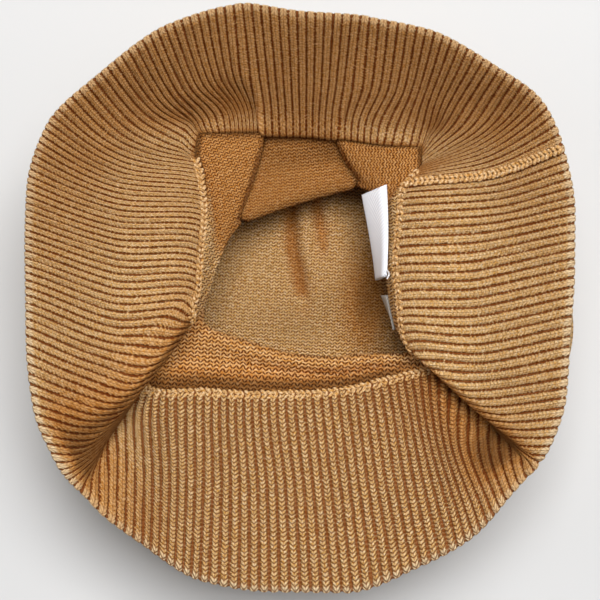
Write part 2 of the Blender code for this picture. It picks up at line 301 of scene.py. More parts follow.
# The second tape is greyish white painted darker grey as painted shade.
WHITE_TAPE, SHADED_GREY_TAPE = ("#E6EAF2", "#F7F9FE"), ("#A7A49C", "#C6C3BB")
THREAD_SHADE, THREAD_LIGHT = "#C9CBCE", "#F3F3F4"
PAPER = "#D1D1D1"
MATH = "ShaderNodeMath"
RANGE = "ShaderNodeMapRange"


def linear(code):
    """An sRGB hex colour as linear red, green, blue and a full alpha."""
    parts = [int(code[k : k + 2], 16) / 255 for k in (1, 3, 5)]
    return tuple(p / 12.92 if p <= 0.04045 else ((p + 0.055) / 1.055) ** 2.4 for p in parts) + (1.0,)


def add(tree, kind, feeds=(), out=0, **settings):
    """Adds one node with its settings and gives the output asked for; feeds holds a value or a link for its
    inputs, in their order or by their names or numbers."""
    made = tree.nodes.new(kind)
    for name, value in settings.items():
        setattr(made, name, value)
    for place, value in feeds.items() if isinstance(feeds, dict) else enumerate(feeds):
        if isinstance(value, bpy.types.NodeSocket):
            tree.links.new(value, made.inputs[place])
        else:
            made.inputs[place].default_value = value
    return made.outputs[out] if len(made.outputs) else made


def fresh(name):
    """A new material with an empty node tree, and the tree."""
    material = bpy.data.materials.new(name)
    material.use_nodes = True
    material.node_tree.nodes.clear()
    return material, material.node_tree


def dress(tree, colour, height, depth, **surface):
    """Gives a material its shader, with its uniform settings, its colour and the relief from its height."""
    relief = add(tree, "ShaderNodeBump", {"Height": height, "Distance": depth, "Strength": 1.0})
    feeds = {name.replace("_", " "): value for name, value in surface.items()}
    feeds.update({"Base Color": colour, "Normal": relief})
    shader = add(tree, "ShaderNodeBsdfPrincipled", feeds)
    add(tree, "ShaderNodeOutputMaterial", {"Surface": shader})


# Wool and acrylic have a dry nap: hardly a gloss, and a faint warm sheen from the loose fibres.
NAP = {"Roughness": 0.92, "IOR": 1.5, "Specular_IOR_Level": 0.06, "Sheen_Weight": 0.1, "Sheen_Roughness": 0.5,
       "Sheen_Tint": linear(SHEEN_TINT)}


def melange(tree, scale, across, along):
    """Mixed-fibre yarn: pale, golden and brown fibres twisted together, so each stitch has its own mix."""
    stitch = add(tree, "ShaderNodeCombineXYZ", (across, along, 0.0))
    fibres = add(tree, "ShaderNodeTexNoise",
                 {"Vector": stitch, "Scale": scale, "Detail": 4.0, "Roughness": 0.7})
    patches = add(tree, "ShaderNodeTexNoise", {"Vector": stitch, "Scale": scale * 0.3, "Detail": 1.0})
    golden = add(tree, "ShaderNodeTexNoise",
                 {"Vector": stitch, "Scale": scale * 0.62, "Detail": 2.0, "Lacunarity": 2.6})
    mixed = add(tree, "ShaderNodeMix", {0: 0.26, 2: fibres, 3: patches})
    yarn = add(tree, "ShaderNodeValToRGB", (mixed,))
    stops = yarn.node.color_ramp.elements
    stops[0].position, stops[0].color = 0.36, linear(DARK_FIBRE)
    stops[1].position, stops[1].color = 0.62, linear(PALE_FIBRE)
    stops.new(0.48).color = linear(TAN_FIBRE)
    share = add(tree, RANGE, (golden, 0.5, 0.66, 0.0, 0.7), interpolation_type="SMOOTHSTEP")
    gold = add(tree, "ShaderNodeMix", {0: share, 6: yarn, 7: linear(GOLD_FIBRE)}, 2, data_type="RGBA")
    return gold, fibres


def shaded(tree, colour, stitch, strength):
    """The yarn's colour with painted shade: darkened between the stitches, and painted redder and darker in the
    folds and creases."""
    # Painted shade between the stitches, in the grooves and slits.
    gap = add(tree, RANGE, (stitch, 0.0, 1.0, strength, 0.0))
    fold = add(tree, "ShaderNodeAttribute", out="Fac", attribute_name="painted_fold_shade")
    deep = add(tree, RANGE, (fold, 0.0, 1.0))
    crease = add(tree, RANGE, (fold, 1.0, 2.0))
    for share, shade in ((gap, GAP_SHADE), (deep, DEEP_SHADE), (crease, CREASE_SHADE)):
        colour = add(tree, "ShaderNodeMix", {0: share, 6: colour, 7: linear(shade)}, 2, data_type="RGBA",
                     blend_type="MULTIPLY")
    return colour


def knitting_place(tree):
    """The wale and the course at each point of the cloth, from its knitting coordinates."""
    knitting = add(tree, "ShaderNodeUVMap", uv_map="knitting")
    return [add(tree, "ShaderNodeSeparateXYZ", (knitting,), axis) for axis in "XY"]


def ribbed_melange_yarn():
    """Soft acrylic and wool yarn knitted in a one-by-one rib: plump columns of V stitches, napped so that the
    stitches blur together, with ragged grooves between them that are darkened with painted shade, and a paler
    cast-on edge."""
    material, tree = fresh("ribbed_melange_yarn")
    wale, course = knitting_place(tree)
    # Where the cloth is drawn out flat its grooves open, and the V stitches and the purl rungs show.
    rising = add(tree, RANGE, (wale, 95.0, 104.0), interpolation_type="SMOOTHSTEP")
    opened = add(tree, RANGE, (wale, 134.0, 142.0, rising, 0.0), interpolation_type="SMOOTHSTEP")
    # From 0 in the groove to 0.5 along the middle of the rib.
    crest = add(tree, MATH, (wale, 0.5), operation="PINGPONG")
    # Each stitch's two legs lean outwards and up from the middle of the rib; one course is 1.3 mm.
    leg = add(tree, MATH, (crest, 1.9, course), operation="MULTIPLY_ADD")
    between = add(tree, MATH, (leg, 0.5), operation="PINGPONG")
    softest = add(tree, RANGE, (opened, 0.0, 1.0, 0.68, 0.12))
    split = add(tree, RANGE, (crest, 0.4, 0.5, 1.0, 0.6), interpolation_type="SMOOTHSTEP")
    legs = add(tree, RANGE, (between, 0.0, 0.3, softest, 1.0), interpolation_type="SMOOTHSTEP")
    legs = add(tree, MATH, (legs, split), operation="MULTIPLY")
    spot = add(tree, "ShaderNodeCombineXYZ", (wale, course, 4.0))
    ragged = add(tree, "ShaderNodeTexNoise", {"Vector": spot, "Scale": 1.6, "Detail": 3.0, "Roughness": 0.6})
    serrated = add(tree, MATH, (course, 0.5), operation="PINGPONG")
    narrow = add(tree, RANGE, (opened, 0.0, 1.0, -0.1, -0.06))
    bank = add(tree, MATH, (ragged, 0.42, narrow), operation="MULTIPLY_ADD")
    bank = add(tree, MATH, (serrated, -0.2, bank), operation="MULTIPLY_ADD")
    shore = add(tree, MATH, (bank, 0.11), operation="ADD")
    column = add(tree, RANGE, (crest, bank, shore, 0.0, 1.0), interpolation_type="SMOOTHSTEP")
    rung = add(tree, RANGE, (serrated, 0.1, 0.42, 0.0, 0.18), interpolation_type="SMOOTHSTEP")
    rung = add(tree, MATH, (rung, opened), operation="MULTIPLY")
    stitch = add(tree, MATH, (legs, column), operation="MULTIPLY")
    stitch = add(tree, MATH, (stitch, rung, 0.1), operation="SMOOTH_MAX")
    twice = add(tree, MATH, (wale, 2.0), operation="MULTIPLY")
    colour, fibres = melange(tree, 3.1, twice, course)
    edge = add(tree, RANGE, (course, 0.8, 1.5, 0.6, 0.0), interpolation_type="SMOOTHSTEP")
    colour = add(tree, "ShaderNodeMix", {0: edge, 6: colour, 7: linear(RIM_FIBRE)}, 2, data_type="RGBA")
    height = add(tree, MATH, (fibres, 1.0, stitch), operation="MULTIPLY_ADD")
    dress(tree, shaded(tree, colour, stitch, 0.95), height, 0.0007, **NAP)
    return material


def jersey_purl_side():
    """The same yarn knitted plain, seen on its purl side: slits darkened with painted shade that slant one way
    and then the other in columns 0.9 mm wide, 1.1 mm apart up the cloth."""
    material, tree = fresh("jersey_purl_side")
    wale, course = knitting_place(tree)
    spot = add(tree, "ShaderNodeCombineXYZ", (wale, course, 0.0))
    wobble = add(tree, "ShaderNodeTexNoise", {"Vector": spot, "Scale": 0.8, "Detail": 3.0})
    slant = add(tree, MATH, (wale, 0.5), operation="PINGPONG")
    row = add(tree, MATH, (slant, 1.5, course), operation="MULTIPLY_ADD")
    row = add(tree, MATH, (wobble, 0.95, row), operation="MULTIPLY_ADD")
    slit = add(tree, MATH, (row, 0.5), operation="PINGPONG")
    turn = add(tree, MATH, (wale, 0.25), operation="PINGPONG")
    uneven = add(tree, "ShaderNodeTexNoise", {"Vector": spot, "Scale": 1.7, "Detail": 1.0})
    turn = add(tree, MATH, (uneven, -0.22, turn), operation="MULTIPLY_ADD")
    lowest = add(tree, RANGE, (turn, -0.1, 0.03, 0.85, -0.1), interpolation_type="SMOOTHSTEP")
    stitch = add(tree, RANGE, (slit, 0.06, 0.31, lowest, 1.0), interpolation_type="SMOOTHSTEP")
    colour, fibres = melange(tree, 3.0, wale, course)
    height = add(tree, MATH, (fibres, 0.5, stitch), operation="MULTIPLY_ADD")
    dress(tree, shaded(tree, colour, stitch, 0.95), height, 0.0008, **NAP)
    return material


def jersey_knit_side():
    """The knit side of the plain cloth: small V stitches in 1.7 mm wales, napped like the band."""
    material, tree = fresh("jersey_knit_side")
    wale, course = knitting_place(tree)
    crest = add(tree, MATH, (wale, 0.5), operation="PINGPONG")
    leg = add(tree, MATH, (crest, 1.6, course), operation="MULTIPLY_ADD")
    between = add(tree, MATH, (leg, 0.5), operation="PINGPONG")
    legs = add(tree, RANGE, (between, 0.0, 0.34, 0.25, 1.0), interpolation_type="SMOOTHSTEP")
    edge = add(tree, RANGE, (crest, 0.0, 0.14, 0.15, 1.0), interpolation_type="SMOOTHSTEP")
    stitch = add(tree, MATH, (legs, edge), operation="MULTIPLY")
    colour, fibres = melange(tree, 2.0, wale, course)
    height = add(tree, MATH, (fibres, 0.5, stitch), operation="MULTIPLY_ADD")
    dress(tree, shaded(tree, colour, stitch, 0.8), height, 0.0005, **NAP)
    return material


def linking_yarn():
    """The same yarn in the linking and seam stitches, where it lies on top and its twist shows."""
    material, tree = fresh("linking_yarn")
    place = add(tree, "ShaderNodeTexCoord", out="Object")
    # One unit of the yarn's mix is 1.3 mm.
    sized = add(tree, "ShaderNodeVectorMath", {0: place, "Scale": 770.0}, operation="SCALE")
    across, along = (add(tree, "ShaderNodeSeparateXYZ", (sized,), axis) for axis in "XY")
    colour, fibres = melange(tree, 2.4, across, along)
    plump = add(tree, RANGE, (fibres, 0.3, 0.6, 0.35, 0.8))
    dress(tree, shaded(tree, colour, plump, 0.8), fibres, 0.0004, **NAP)
    return material


def label_tape(name, dark, light):
    """Woven polyester label tape: a close diagonal twill with a slight satin sheen."""
    material, tree = fresh(name)
    knitting = add(tree, "ShaderNodeUVMap", uv_map="knitting")
    # Twill lines 0.7 mm apart, coarser than the real 0.3 mm so that they show.
    turned = add(tree, "ShaderNodeMapping", {"Vector": knitting, "Rotation": (0, 0, math.radians(52))})
    lines = add(tree, "ShaderNodeTexWave", {"Vector": turned, "Scale": 0.45, "Distortion": 0.2, "Detail": 2.0,
                                            "Detail Scale": 2.0}, "Fac")
    colour = add(tree, "ShaderNodeMix", {0: lines, 6: linear(dark), 7: linear(light)}, 2, data_type="RGBA")
    dress(tree, colour, lines, 0.00012, Roughness=0.55, Sheen_Weight=0.15)
    return material


def sewing_thread():
    """White spun polyester sewing thread, with the faint slant of its twist."""
    material, tree = fresh("sewing_thread")
    place = add(tree, "ShaderNodeTexCoord", out="Object")
    twist = add(tree, "ShaderNodeTexWave", {"Vector": place, "Scale": 800.0, "Distortion": 1.0}, "Fac",
                bands_direction="DIAGONAL")
    colour = add(tree, "ShaderNodeMix", {0: twist, 6: linear(THREAD_SHADE), 7: linear(THREAD_LIGHT)}, 2,
                 data_type="RGBA")
    dress(tree, colour, twist, 0.00005, Roughness=0.6)
    return material


# ---- The band --------------------------------------------------------------------------------------------

rib_finish = ribbed_melange_yarn()
inside_finish = jersey_purl_side()
outside_finish = jersey_knit_side()
link_finish = linking_yarn()
label_finish = label_tape("white_label_tape", *WHITE_TAPE)
size_finish = label_tape("grey_label_tape_painted_shade", *SHADED_GREY_TAPE)
thread_finish = sewing_thread()

PER_RIB = 8
RIB_DEPTH = 1.5
SEAM_RIB = 59.3
SEAM_LINE = 10


def rib_profile(ribs, wide):
    """Height across each rib from 0 in the groove to 1 on the crest; wide ribs stand further apart."""
    place = np.abs(2 * (ribs - np.floor(ribs)) - 1)
    tight, loose = 1 - place**2.4, 1 - place**1.35
    return tight * (1 - wide) + loose * wide


def band():
    """The ribbed band: its ribs are real relief on both faces, and follow the rib counts at rim and join."""
    ribs = np.arange(RIBS * PER_RIB) / PER_RIB
    inner_rows = np.concatenate([[0, 0.5, 1.1, 2], np.linspace(3.2, 58.6, 36), [59.3, 59.9]])
    outer_rows = np.concatenate([[0, 0.8, 2], np.linspace(5, 57, 15), [59.9]])
    faces, painted_shades = [], []
    for rows, side in ((inner_rows, 1), (outer_rows, -1)):
        points, normals = along_ribs(ribs, rows)
        number, row = np.meshgrid(ribs, rows, indexing="ij")
        down = np.gradient(points, axis=1)
        down /= np.linalg.norm(down, axis=2, keepdims=True)
        gap = np.roll(points, -PER_RIB, axis=0) - points
        gap -= down * (gap * down).sum(axis=2, keepdims=True)
        pitch = np.linalg.norm(gap, axis=2)
        # The ribs flatten where they crowd, at the join, beside the seam and where the band is steep.
        relief = smooth(0.9, 2.0, pitch) * smooth(60.5, 57.5, row)
        near_seam = np.abs(number - (SEAM_RIB - 1.6))
        relief *= 1 - 0.85 * smooth(1.8, 1.0, near_seam)
        relief *= 1 - 0.5 * smooth(0.86, 0.5, np.abs(normals[..., 2]))
        wide = smooth(96, 104, number) * smooth(140, 134, number)
        # Hand-worn cloth: ribs sway a little, differ in height and lie over low swells.
        sway = 0.07 * np.sin(0.9 * number + 0.13 * row) + 0.05 * np.sin(2.3 * number - 0.31 * row)
        sway = sway + 0.035 * np.sin(5.1 * np.floor(number + 0.5) + 0.9 * row)
        profile = rib_profile(number + sway + (0 if side > 0 else 0.5), wide)
        uneven = 1 + 0.14 * np.sin(3.7 * np.floor(number) + 0.17 * row)
        height = RIB_DEPTH * relief * uneven * (profile - 0.55)
        height += 0.18 * np.sin(0.31 * number + 0.08 * row) * np.sin(0.11 * row)
        if side > 0:
            height -= 0.9 * np.exp(-(((number - SEAM_RIB) / 0.3) ** 2)) * smooth(60, 54, row)
        # The lip of the join rolls over the folds behind it, and the rim thins to its scalloped edge.
        over_top = np.maximum(smooth(196, 199, number), smooth(48, 44, number)) * smooth(53, 58.5, row)
        half = CLOTH / 2 * (0.28 + 0.72 * np.sqrt(np.clip(row / 2.0, 0, 1)))
        fade = 0.35 + 0.65 * smooth(0, 2, row)
        scallop = 0.8 * (rib_profile(number + sway, 0.3) - 0.5) * smooth(3, 0, row)
        offset = side * (half + height * fade)
        lip = over_top[..., None] * np.array([0, -1.3, -0.4])
        faces.append(points + normals * offset[..., None] - down * scallop[..., None] + lip)
        # Painted shade: the band is painted darker and redder where it is steep, where its ribs crowd, along
        # its two lower corners and under the rolled lip of the join.
        share = row / JOIN
        steep = smooth(0.86, 0.5, np.abs(normals[..., 2]))
        left = np.exp(-(((number - 150 - 8 * share) / (5 + 7 * share)) ** 2)) * smooth(0, 6, row)
        right = np.exp(-(((number - 93 - 6 * share) / (4 + 5 * share)) ** 2)) * smooth(4, 16, row)
        painted_shade = np.clip(0.75 * steep + 0.25 * smooth(2.2, 1.3, pitch) + 1.6 * left + 1.25 * right, 0, 1.6)
        painted_shade = np.maximum(painted_shade, 1.6 * over_top * smooth(57.5, 59.5, row))
        painted_shades.append(painted_shade if side > 0 else np.zeros_like(painted_shade))
    deep = [len(inner_rows), len(outer_rows)]
    count = len(ribs)
    inner, inner_at = grid_quads(count, deep[0], 0, False)
    outer, outer_at = grid_quads(count, deep[1], count * deep[0], True)
    rim = edge_quads(count, deep, (0, 0), 0, count * deep[0], False)
    hem = edge_quads(count, deep, (deep[0] - 1, deep[1] - 1), 0, count * deep[0], True)
    inner_uv = np.stack([inner_at[..., 0] / PER_RIB, inner_rows[inner_at[..., 1]] / COURSE], axis=2)
    outer_uv = np.stack([outer_at[..., 0] / PER_RIB + 0.5, outer_rows[outer_at[..., 1]] / COURSE], axis=2)
    rim_uv = edge_uv(np.arange(count + 1) / PER_RIB, 0.6)
    points = np.concatenate([face.reshape(-1, 3) for face in faces])
    quads = np.concatenate([inner, outer, rim, hem])
    uv = np.concatenate([inner_uv, outer_uv, rim_uv, rim_uv])
    depth = np.concatenate([one.ravel() for one in painted_shades])
    return sheet_mesh("ribbed_band", points, quads, uv, [rib_finish], depth=depth)


# ---- The crown -------------------------------------------------------------------------------------------


def crown():
    """The plain-knit crown: from the join over its folds and round the slack pouch to the middle."""
    count = 640
    lines = np.arange(count) * len(FOLD_LINES) / count
    inner_rows = np.concatenate([np.arange(60, 100, 1.15), np.linspace(101, FLOOR_ROW, 22),
                                 [178, 185, 192, 198], np.linspace(202, 234, 34)])
    outer_rows = np.concatenate([np.linspace(60, FLOOR_ROW, 34), np.linspace(180, 234, 12)])
    around, _ = cloth(lines, np.array([140.0]))
    gaps = np.linalg.norm(np.roll(around[:, 0], -1, axis=0) - around[:, 0], axis=1)
    wales = np.concatenate([[0], np.cumsum(gaps)]) / gaps.sum() * CROWN_WALES
    deep = [len(inner_rows), len(outer_rows)]
    pieces, uvs, quads, kinds, painted_shades = [], [], [], [], []
    for rows, side, start in ((inner_rows, 1, 0), (outer_rows, -1, count * deep[0])):
        points, normals = cloth(lines, rows)
        line, row = np.meshgrid(lines, rows, indexing="ij")
        x, y = points[..., 0], points[..., 1]
        # The slack pouch is drawn into the band in shallow gathers, which never stand out from it.
        gathers = np.sin(line * 2.55 + 0.8 * np.sin(line * 0.7)) + 0.6 * np.sin(line * 4.07 + 1.3)
        slack = smooth(92, 112, row) * smooth(178, 146, row) * (0.35 + 0.65 * smooth(142, 118, row))
        points = points - normals * (0.9 * slack * (gathers - 1.6))[..., None]
        # Creases where one panel tucks behind the next, and two soft ones in the slack floor.
        tucks = np.zeros_like(row)
        for place, width in ((3.08, 0.12), (5.02, 0.14)):
            tucks = np.maximum(tucks, np.exp(-(((line - place) / width) ** 2)) * smooth(86, 79, row))
        floor = smooth(192, 202, row)
        upper = smooth(-16, 6, y)
        first = np.interp(y, [-6, 8, 17, 34], [2.2, -0.3, -2.6, -3.2])
        second = np.interp(y, [12, 22, 34], [8.2, 7.4, 5.2])
        dents = np.exp(-(((x - first) / 2.3) ** 2)) * smooth(-8, 6, y)
        dents = np.maximum(dents, 0.75 * np.exp(-(((x - second) / 2.0) ** 2)) * smooth(10, 22, y))
        mound = 7 * upper * np.exp(-(((x - 3) / 19) ** 2)) + 4 * np.exp(-((x - 15) ** 2 + (y - 13) ** 2) / 90)
        mound = mound + 3 * np.exp(-((x + 16) ** 2 + (y + 4) ** 2) / 200)
        points = points - normals * (1.8 * tucks)[..., None]
        points[..., 2] += floor * (mound - 4.2 * dents)
        points = points + normals * side * CLOTH / 2
        points[..., 2] = np.maximum(points[..., 2], 0.02 if side < 0 else CLOTH)
        pieces.append(points.reshape(-1, 3))
        # Painted shade: the crown is painted darker under its +Y folds, behind the join at -Y, in the tucks and
        # dents, a little over the whole floor, and as a painted shadow at the +X side of the floor.
        back = np.maximum(smooth(10.3, 9.3, line), smooth(33.5, 36.5, line))
        painted_shade = 1.12 * back * smooth(86, 80, row)
        front = smooth(19.5, 21, line) * smooth(30.5, 28.5, line)
        painted_shade = painted_shade + 1.0 * front * smooth(65.5, 61, row) + 0.75 * front * smooth(90, 80, row)
        painted_shade = np.maximum(painted_shade, 1.9 * tucks)
        painted_shade = np.maximum(painted_shade, 1.8 * np.maximum(back, smooth(33.8, 34.6, line)) * smooth(63.5, 61, row))
        # A painted shadow on the floor at +X, by the labels.
        shade = np.exp(-((x - 22) ** 2 / 60 + (y + 1) ** 2 / 260))
        painted_shade = np.maximum(painted_shade, floor * (0.25 + np.maximum(0.95 * dents, 1.1 * shade)))
        painted_shades.append(painted_shade if side > 0 else np.zeros_like(painted_shade))
        grid, at = grid_quads(count, len(rows), start, side < 0)
        knit = np.stack([wales[at[..., 0]], rows[at[..., 1]] / JERSEY_COURSE], axis=2)
        spots = points[at[..., 0] % count, at[..., 1]]
        place = lines[at[..., 0].min(axis=1) % count]
        on_floor = at[:, :, 1].min(axis=1) >= np.searchsorted(rows, FLOOR_ROW)
        turned, grown = np.full(len(at), FLOOR_TURN), np.ones(len(at))
        for begins, degrees, growth in PANELS:
            turned = np.where((place >= begins) & ~on_floor, degrees, turned)
            grown = np.where((place >= begins) & ~on_floor, growth, grown)
        plane = grains(spots, turned[:, None], grown[:, None])
        uvs.append(plane if side > 0 else np.where(on_floor[:, None, None], plane * 1.1, knit))
        quads.append(grid)
        kinds.append(np.full(len(grid), 0 if side > 0 else 1))
    hem = edge_quads(count, deep, (0, 0), 0, count * deep[0], False)
    hem_uv = edge_uv(wales, 1.0)
    obj = sheet_mesh("knitted_crown", np.concatenate(pieces), np.concatenate(quads + [hem]),
                     np.concatenate(uvs + [hem_uv]), [inside_finish, outside_finish],
                     np.concatenate(kinds + [np.zeros(count)]), np.concatenate([one.ravel() for one in painted_shades]))
    close_middle(obj, count, deep)
    return obj


def grains(spots, degrees, growth):
    """Knitting coordinates laid flat over the cloth, in grain cells, turned to the way the wales run."""
    angle = np.radians(degrees)
    x, y = spots[..., 0], spots[..., 1]
    wale = (x * np.cos(angle) + y * np.sin(angle)) / (GRAIN_CELL[0] * growth)
    course = (y * np.cos(angle) - x * np.sin(angle)) / (GRAIN_CELL[1] * growth)
    return np.stack([wale, course], axis=-1)


def close_middle(obj, count, deep):
    """Closes the small hole left at the middle of each face of the crown."""
    shape = bmesh.new()
    shape.from_mesh(obj.data)
    shape.verts.ensure_lookup_table()
    knitting = shape.loops.layers.uv["knitting"]
    rings = [[shape.verts[start + (i + 1) * rows - 1] for i in range(count)]
             for start, rows in ((0, deep[0]), (count * deep[0], deep[1]))]
    for ring, flip, kind in zip(rings, (False, True), (0, 1)):
        middle = shape.verts.new(sum((v.co for v in ring), ring[0].co * 0) / count)
        for i in range(count):
            corners = [ring[i], middle, ring[(i + 1) % count]]
            face = shape.faces.new(corners[::-1] if flip else corners)
            face.material_index = kind
            face.smooth = True
            for loop in face.loops:
                loop[knitting].uv = grains(np.array(loop.vert.co) / MM, FLOOR_TURN, 1.0)
    shape.to_mesh(obj.data)
    shape.free()


# ---- Braided stitches ------------------------------------------------------------------------------------


def stitch_tree():
    """Geometry Nodes that put one V stitch, two plump leaning legs, on each point of a path."""
    tree = bpy.data.node_groups.new("braided_stitches", "GeometryNodeTree")
    for name, kind in (("Path", "NodeSocketGeometry"), ("Leg length", "NodeSocketFloat"),
                       ("Leg width", "NodeSocketFloat"), ("Spread", "NodeSocketFloat"),
                       ("Lean", "NodeSocketFloat"), ("Finish", "NodeSocketMaterial")):
        tree.interface.new_socket(name, in_out="INPUT", socket_type=kind)
    tree.interface.new_socket("Stitches", in_out="OUTPUT", socket_type="NodeSocketGeometry")
    legs = add(tree, "GeometryNodeJoinGeometry")
    length = add(tree, "NodeGroupInput", out="Leg length")
    width = add(tree, "NodeGroupInput", out="Leg width")
    scale = add(tree, "ShaderNodeCombineXYZ", (length, width, width))
    for side in (1, -1):
        ball = add(tree, "GeometryNodeMeshUVSphere", {"Segments": 8, "Rings": 6, "Radius": 0.5})
        lean = add(tree, MATH, (add(tree, "NodeGroupInput", out="Lean"), float(side)), operation="MULTIPLY")
        turn = add(tree, "ShaderNodeCombineXYZ", (0.0, 0.0, lean))
        shift = add(tree, MATH, (add(tree, "NodeGroupInput", out="Spread"), 0.5 * side), operation="MULTIPLY")
        aside = add(tree, "ShaderNodeCombineXYZ", (0.0, shift, 0.0))
        leg = add(tree, "GeometryNodeTransform", {"Geometry": ball, "Translation": aside, "Rotation": turn,
                                                  "Scale": scale})
        tree.links.new(leg, legs.node.inputs["Geometry"])
    run = add(tree, "GeometryNodeInputNamedAttribute", {"Name": "run"}, data_type="FLOAT_VECTOR")
    rise = add(tree, "GeometryNodeInputNamedAttribute", {"Name": "rise"}, data_type="FLOAT_VECTOR")
    size = add(tree, "GeometryNodeInputNamedAttribute", {"Name": "size"}, data_type="FLOAT")
    up = add(tree, "FunctionNodeAlignRotationToVector", {"Vector": rise}, axis="Z")
    forward = add(tree, "FunctionNodeAlignRotationToVector", {"Rotation": up, "Vector": run}, axis="X",
                  pivot_axis="Z")
    spots = add(tree, "GeometryNodeMeshToPoints", {"Mesh": add(tree, "NodeGroupInput", out="Path")})
    placed = add(tree, "GeometryNodeInstanceOnPoints", {"Points": spots, "Instance": legs,
                                                        "Rotation": forward, "Scale": size})
    whole = add(tree, "GeometryNodeRealizeInstances", {"Geometry": placed})
    soft = add(tree, "GeometryNodeSetShadeSmooth", {0: whole})
    dressed = add(tree, "GeometryNodeSetMaterial", {"Geometry": soft,
                                                    "Material": add(tree, "NodeGroupInput", out="Finish")})
    add(tree, "NodeGroupOutput", (dressed,))
    return tree


def braid(name, path, run, rise, sizes, finish):
    """A row of V stitches along a path; the point attributes say which way each one lies."""
    mesh = bpy.data.meshes.new(name)
    mesh.from_pydata([tuple(p) for p in path * MM], [], [])
    for key, kind, values in (("run", "FLOAT_VECTOR", run), ("rise", "FLOAT_VECTOR", rise)):
        mesh.attributes.new(key, kind, "POINT").data.foreach_set("vector", values.astype(np.float32).ravel())
    swell = 1 + 0.1 * np.sin(np.arange(len(path)) * 2.4) + 0.06 * np.sin(np.arange(len(path)) * 5.1)
    mesh.attributes.new("size", "FLOAT", "POINT").data.foreach_set("value", swell.astype(np.float32))
    guide = put(name + "_guide", mesh)
    modifier = guide.modifiers.new("stitches", "NODES")
    modifier.node_group = STITCHES
    sockets = {item.name: item.identifier for item in STITCHES.interface.items_tree if item.in_out == "INPUT"}
    for key, value in sizes.items():
        modifier[sockets[key]] = value
    modifier[sockets["Finish"]] = finish
    return settled(guide, name)


def evenly(path, gap, closed):
    """Places a fixed gap apart along a path of points, as indices into it."""
    ends = np.vstack([path, path[:1]]) if closed else path
    travelled = np.concatenate([[0], np.cumsum(np.linalg.norm(np.diff(ends, axis=0), axis=1))])
    count = max(2, round(travelled[-1] / gap))
    wanted = np.linspace(0, travelled[-1], count, endpoint=not closed)
    return np.interp(wanted, travelled, np.arange(len(travelled)))


def at_places(values, index):
    """The values of a closed row at places between its points."""
    whole = np.arange(len(values) + 1)
    return np.stack([np.interp(index, whole, np.append(one, one[0])) for one in values.T], axis=1)


def unit(vectors):
    """The vectors at length one."""
    return vectors / np.linalg.norm(vectors, axis=-1, keepdims=True)


def linking_braid():
    """The chain-linked row of V stitches on the join, where it can be seen."""
    lines = np.arange(0, len(FOLD_LINES), FINE)
    surface, normal = cloth(lines, np.array([JOIN - 1.2]))
    surface, normal = surface[:, 0], normal[:, 0]
    index = evenly(surface, 1.75, True)
    path, up = at_places(surface, index), unit(at_places(normal, index))
    run = unit(np.roll(path, -1, axis=0) - np.roll(path, 1, axis=0))
    seen = (index * FINE > 9.3) & (index * FINE < 35.6)
    path, up, run = path[seen], up[seen], run[seen]
    sizes = {"Leg length": 2.4 * MM, "Leg width": 1.1 * MM, "Spread": 1.5 * MM, "Lean": 0.75}
    return braid("linking_braid", path + up * (CLOTH / 2 - 0.05), run, up, sizes, link_finish)


def seam_braid():
    """The puffy seam allowance of the band's one seam, from the rim to the join."""
    places = np.linspace(0.6, JOIN - 3.0, 60)
    surface, normal = cloth(np.arange(0, len(FOLD_LINES), FINE), places)
    at = round((SEAM_LINE - 0.13) / FINE)
    surface, normal = surface[at], normal[at]
    index = evenly(surface, 1.6, False)
    path, up = at_places(surface, index), unit(at_places(normal, index))
    run = unit(np.gradient(path, axis=0))
    sizes = {"Leg length": 2.3 * MM, "Leg width": 1.25 * MM, "Spread": 1.4 * MM, "Lean": 0.65}
    return braid("seam_braid", path + up * (CLOTH / 2 + 0.55), run, up, sizes, link_finish)


STITCHES = stitch_tree()


# ---- Labels ----------------------------------------------------------------------------------------------


def label_loop(name, sewn, lean, drop, apart, finish, thickness=0.28):
    """A label tape folded into a loop: one long strip down, round the fold and back up to the sewn edge. The
    rows of points run along the sewn edge, the columns round the loop, and the loop opens as apart says."""
    along, deep = len(sewn), 25
    lean = unit(lean)
    out = unit(np.cross(unit(np.gradient(sewn, axis=0)), lean))
    share = np.linspace(0, 1, deep)
    turn = np.sin(math.pi * share)
    gap = -np.cos(math.pi * share) / 2 * (0.4 + 0.6 * turn**0.5)
    reach = turn**0.55 * drop
    middle = sewn[:, None] + lean[:, None] * reach[:, None] + out[:, None] * gap[:, None] * apart[:, None, None]
    normal = unit(np.cross(np.gradient(middle, axis=0), np.gradient(middle, axis=1)))
    points = np.concatenate([(middle + normal * side * thickness / 2).reshape(-1, 3) for side in (1, -1)])
    half = along * deep
    i, k = (index.ravel() for index in np.meshgrid(np.arange(along - 1), np.arange(deep - 1), indexing="ij"))
    top = np.stack([i * deep + k, (i + 1) * deep + k, (i + 1) * deep + k + 1, i * deep + k + 1], axis=1)
    quads = [top, top[:, ::-1] + half]
    # The four cut edges of the tape.
    ends, sides = np.arange(deep - 1), np.arange(along - 1)
    for a, b, flip in ((ends, ends + 1, False), (half - deep + ends, half - deep + ends + 1, True),
                       (sides * deep, (sides + 1) * deep, True),
                       (sides * deep + deep - 1, (sides + 1) * deep + deep - 1, False)):
        strip = np.stack([a, b, b + half, a + half], axis=1)
        quads.append(strip[:, ::-1] if flip else strip)
    quads = np.concatenate(quads)
    step = np.linalg.norm(np.diff(middle, axis=1), axis=2).mean()
    local = quads % half
    length = np.linalg.norm(sewn[-1] - sewn[0]) / (along - 1)
    uv = np.stack([(local // deep) * length, (local % deep) * step], axis=2)
    return sheet_mesh(name, points, quads, uv, [finish])


